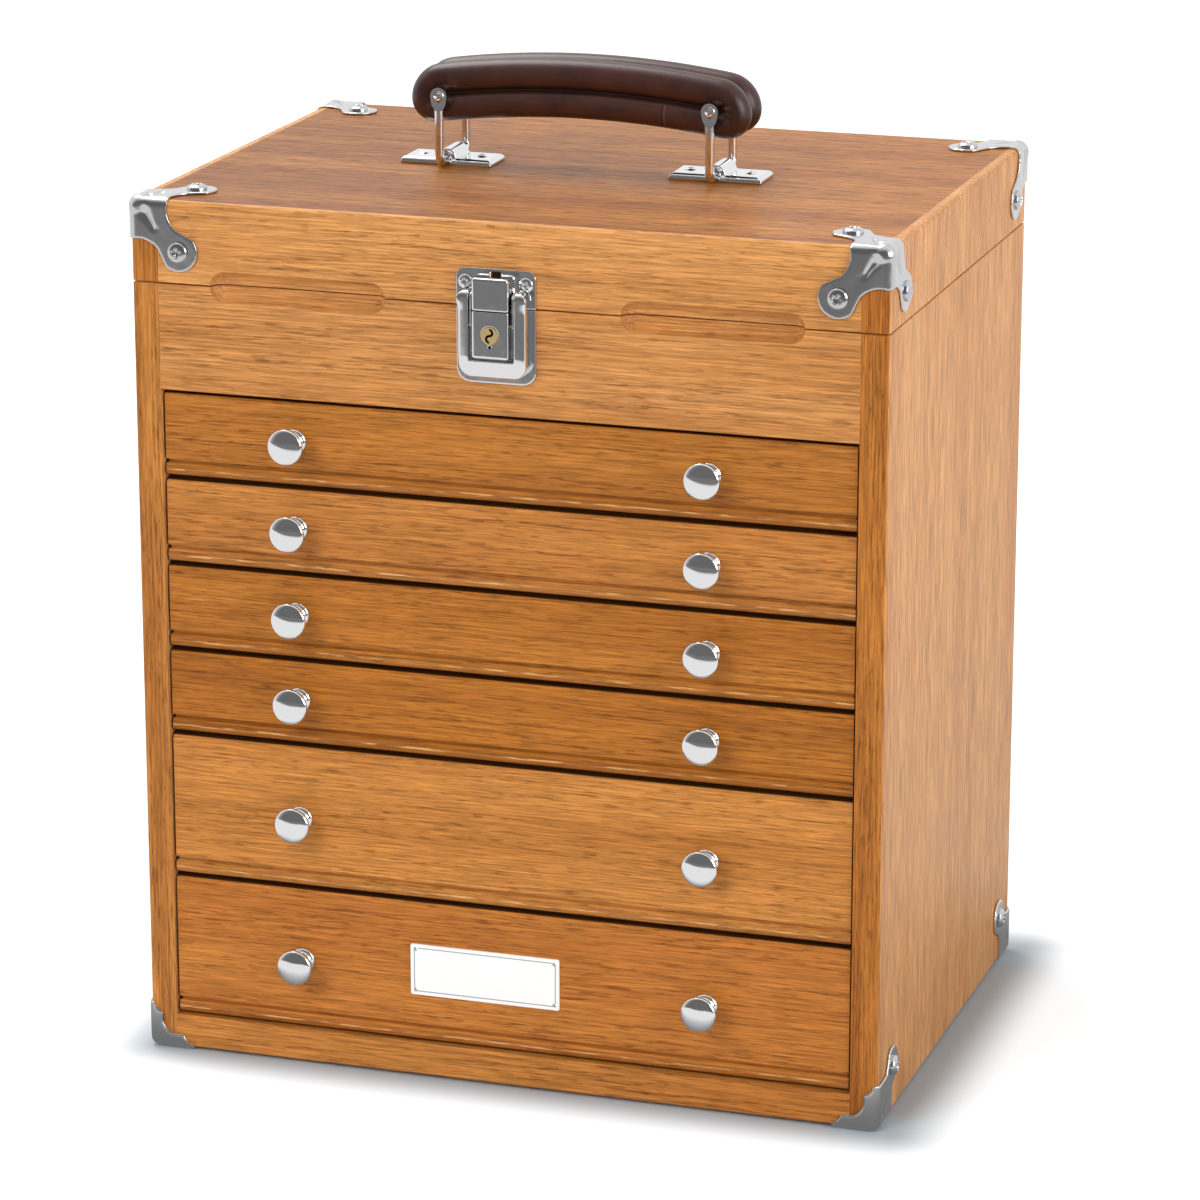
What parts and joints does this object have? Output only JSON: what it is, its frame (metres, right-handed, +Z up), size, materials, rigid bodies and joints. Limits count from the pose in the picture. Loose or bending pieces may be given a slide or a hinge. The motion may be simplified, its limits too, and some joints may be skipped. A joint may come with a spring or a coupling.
{
  "type": "top tool chest",
  "caption": "Small oak tool chest with full-width drawers under a hinged lid, a locking latch, pressed metal corners and a leather carrying handle.",
  "frame": {"origin": "on the surface the chest stands on, at the middle of its plan", "axes": "+X to the chest's right seen from its front, +Y to its back, +Z up"},
  "size_m": [0.337, 0.2531, 0.4288],
  "materials": {
    "oak_front": "oiled oak veneer, satin",
    "oak_panel": "oiled oak veneer, satin",
    "box_wood": "plain sanded wood",
    "felt": "short felt",
    "plated": "nickel plate, polished",
    "knob_plate": "bright plate",
    "plug_brass": "polished",
    "hinge_steel": "brushed",
    "grip_leather": "dark brown leather, worn satin",
    "name_plate": "bare, brushed"
  },
  "bodies": {
    "case": {"side_left": "oak_panel", "side_right": "oak_panel", "back_panel": "oak_panel", "base_panel": "box_wood", "front_rail": "oak_front", "till_front": "oak_front", "till_floor": "box_wood", "till_felt": "felt", "drawer_runners": "box_wood", "base_corners": "plated", "base_corner_screws": "plated", "hinge_case_leaves": "hinge_steel", "hinge_pins": "hinge_steel", "hinge_case_screws": "hinge_steel", "latch_base": "plated", "lock_case": "plated", "latch_screws": "plated", "latch_pivots": "plated"},
    "lid": {"lid_top": "oak_panel", "lid_front": "oak_front", "lid_back": "oak_panel", "lid_side_left": "oak_panel", "lid_side_right": "oak_panel", "lid_corners": "plated", "lid_corner_screws": "plated", "hinge_lid_leaves": "hinge_steel", "hinge_lid_screws": "hinge_steel", "strike_plate": "plated", "strike_screws": "plated", "handle_plates": "plated", "handle_plate_screws": "plated"},
    "bail_left": {"handle_bail_left": "plated", "handle_rivet_left": "plated"},
    "bail_right": {"handle_bail_right": "plated", "handle_rivet_right": "plated"},
    "grip": {"handle_grip": "grip_leather"},
    "lever": {"latch_lever": "plated"},
    "plug": {"lock_plug": "plug_brass"},
    "drawer_1": {"drawer_1_front": "oak_front", "drawer_1_box": "box_wood", "drawer_1_knobs": "knob_plate"},
    "drawer_2": {"drawer_2_front": "oak_front", "drawer_2_box": "box_wood", "drawer_2_knobs": "knob_plate"},
    "drawer_3": {"drawer_3_front": "oak_front", "drawer_3_box": "box_wood", "drawer_3_knobs": "knob_plate"},
    "drawer_4": {"drawer_4_front": "oak_front", "drawer_4_box": "box_wood", "drawer_4_knobs": "knob_plate"},
    "drawer_5": {"drawer_5_front": "oak_front", "drawer_5_box": "box_wood", "drawer_5_knobs": "knob_plate"},
    "drawer_6": {"drawer_6_front": "oak_front", "drawer_6_box": "box_wood", "drawer_6_knobs": "knob_plate", "nameplate": "name_plate", "nameplate_pins": "hinge_steel"}
  },
  "joints": [
    {"name": "lid_hinge", "type": "hinge", "parent": "case", "child": "lid", "pos_m": [0, 0.12405, 0.34445], "axis": [-1, 0, 0], "range_deg": [0, 100]},
    {"name": "bail_left_swing", "type": "hinge", "parent": "lid", "child": "bail_left", "pos_m": [-0.0631, 0.00345, 0.3825], "axis": [0, 1, 0], "range_deg": [-50, 50]},
    {"name": "bail_right_swing", "type": "hinge", "parent": "lid", "child": "bail_right", "pos_m": [0.0587, 0.00345, 0.3825], "axis": [0, 1, 0], "range_deg": [-50, 50]},
    {"name": "grip_turn", "type": "hinge", "parent": "bail_left", "child": "grip", "pos_m": [-0.0631, 0.00345, 0.4116], "axis": [0, 1, 0], "range_deg": [-50, 50]},
    {"name": "lever_swing", "type": "hinge", "parent": "case", "child": "lever", "pos_m": [-0.0022, -0.11915, 0.3492], "axis": [-1, 0, 0], "range_deg": [0, 75]},
    {"name": "plug_turn", "type": "hinge", "parent": "case", "child": "plug", "pos_m": [-0.0022, -0.12395, 0.3344], "axis": [0, 1, 0], "range_deg": [0, 90]},
    {"name": "drawer_1_slide", "type": "slide", "parent": "case", "child": "drawer_1", "axis": [0, -1, 0], "range_m": [0, 0.165]},
    {"name": "drawer_2_slide", "type": "slide", "parent": "case", "child": "drawer_2", "axis": [0, -1, 0], "range_m": [0, 0.165]},
    {"name": "drawer_3_slide", "type": "slide", "parent": "case", "child": "drawer_3", "axis": [0, -1, 0], "range_m": [0, 0.165]},
    {"name": "drawer_4_slide", "type": "slide", "parent": "case", "child": "drawer_4", "axis": [0, -1, 0], "range_m": [0, 0.165]},
    {"name": "drawer_5_slide", "type": "slide", "parent": "case", "child": "drawer_5", "axis": [0, -1, 0], "range_m": [0, 0.165]},
    {"name": "drawer_6_slide", "type": "slide", "parent": "case", "child": "drawer_6", "axis": [0, -1, 0], "range_m": [0, 0.165]}
  ],
  "couplings": [
    {"joint": "bail_right_swing", "follows": "bail_left_swing", "ratio": 1},
    {"joint": "grip_turn", "follows": "bail_left_swing", "ratio": -1}
  ]
}
